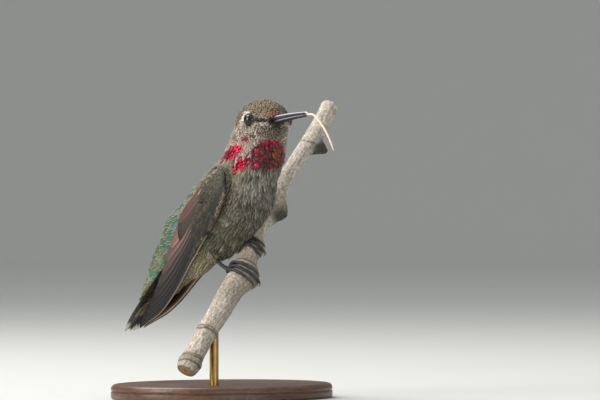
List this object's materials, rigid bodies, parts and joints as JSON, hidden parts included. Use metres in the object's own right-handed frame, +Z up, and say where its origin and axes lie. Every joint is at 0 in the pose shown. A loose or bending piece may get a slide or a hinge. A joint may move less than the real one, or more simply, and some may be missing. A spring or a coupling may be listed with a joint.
{
  "type": "hummingbird model",
  "caption": "Life-size still model of a perched hummingbird, head turned and tongue out, gripping a sloping cut branch on an oval display stand with a rod.",
  "frame": {"origin": "middle of the oval base's underside", "axes": "+X the way the bird's body heads, +Y the bird's left, +Z up; the head is turned 24 degrees from +X to the bird's right"},
  "size_m": [0.0753, 0.064, 0.0733],
  "materials": {
    "crown_plumage": "matte feathers, olive-brown with pale edges",
    "throat_plumage": "patchy iridescent rose-red over grey",
    "breast_plumage": "soft mottled grey feathers",
    "rump_plumage": "iridescent green with buff edges",
    "eye": "wet gloss black",
    "bill": "semi-gloss horn",
    "tongue": "moist, pale",
    "flight_feather": "dark purplish brown, satin",
    "wing_covert": "dark grey-green with buff tips",
    "tail_feather": "near-black with pale edges and tips",
    "foot": "scaly, matt black",
    "claw": "satin black horn",
    "bark": "rough grey-brown bark",
    "stand_wood": "dark satin",
    "stand_metal": "satin"
  },
  "bodies": {
    "root": {"head": "crown_plumage", "neck": "throat_plumage", "trunk": "breast_plumage", "rump": "rump_plumage", "eye_left": "eye", "eye_right": "eye", "bill_upper": "bill", "bill_lower": "bill", "tongue": "tongue", "wing_left_primaries": "flight_feather", "wing_left_secondaries": "flight_feather", "wing_left_coverts": "wing_covert", "wing_right_primaries": "flight_feather", "wing_right_secondaries": "flight_feather", "wing_right_coverts": "wing_covert", "tail": "tail_feather", "leg_left": "foot", "leg_right": "foot", "claw_left_inner": "claw", "claw_left_middle": "claw", "claw_left_outer": "claw", "claw_left_hind": "claw", "claw_right_inner": "claw", "claw_right_middle": "claw", "claw_right_outer": "claw", "claw_right_hind": "claw", "perch_branch": "bark", "stand_base": "stand_wood", "stand_rod": "stand_metal"}
  },
  "joints": []
}
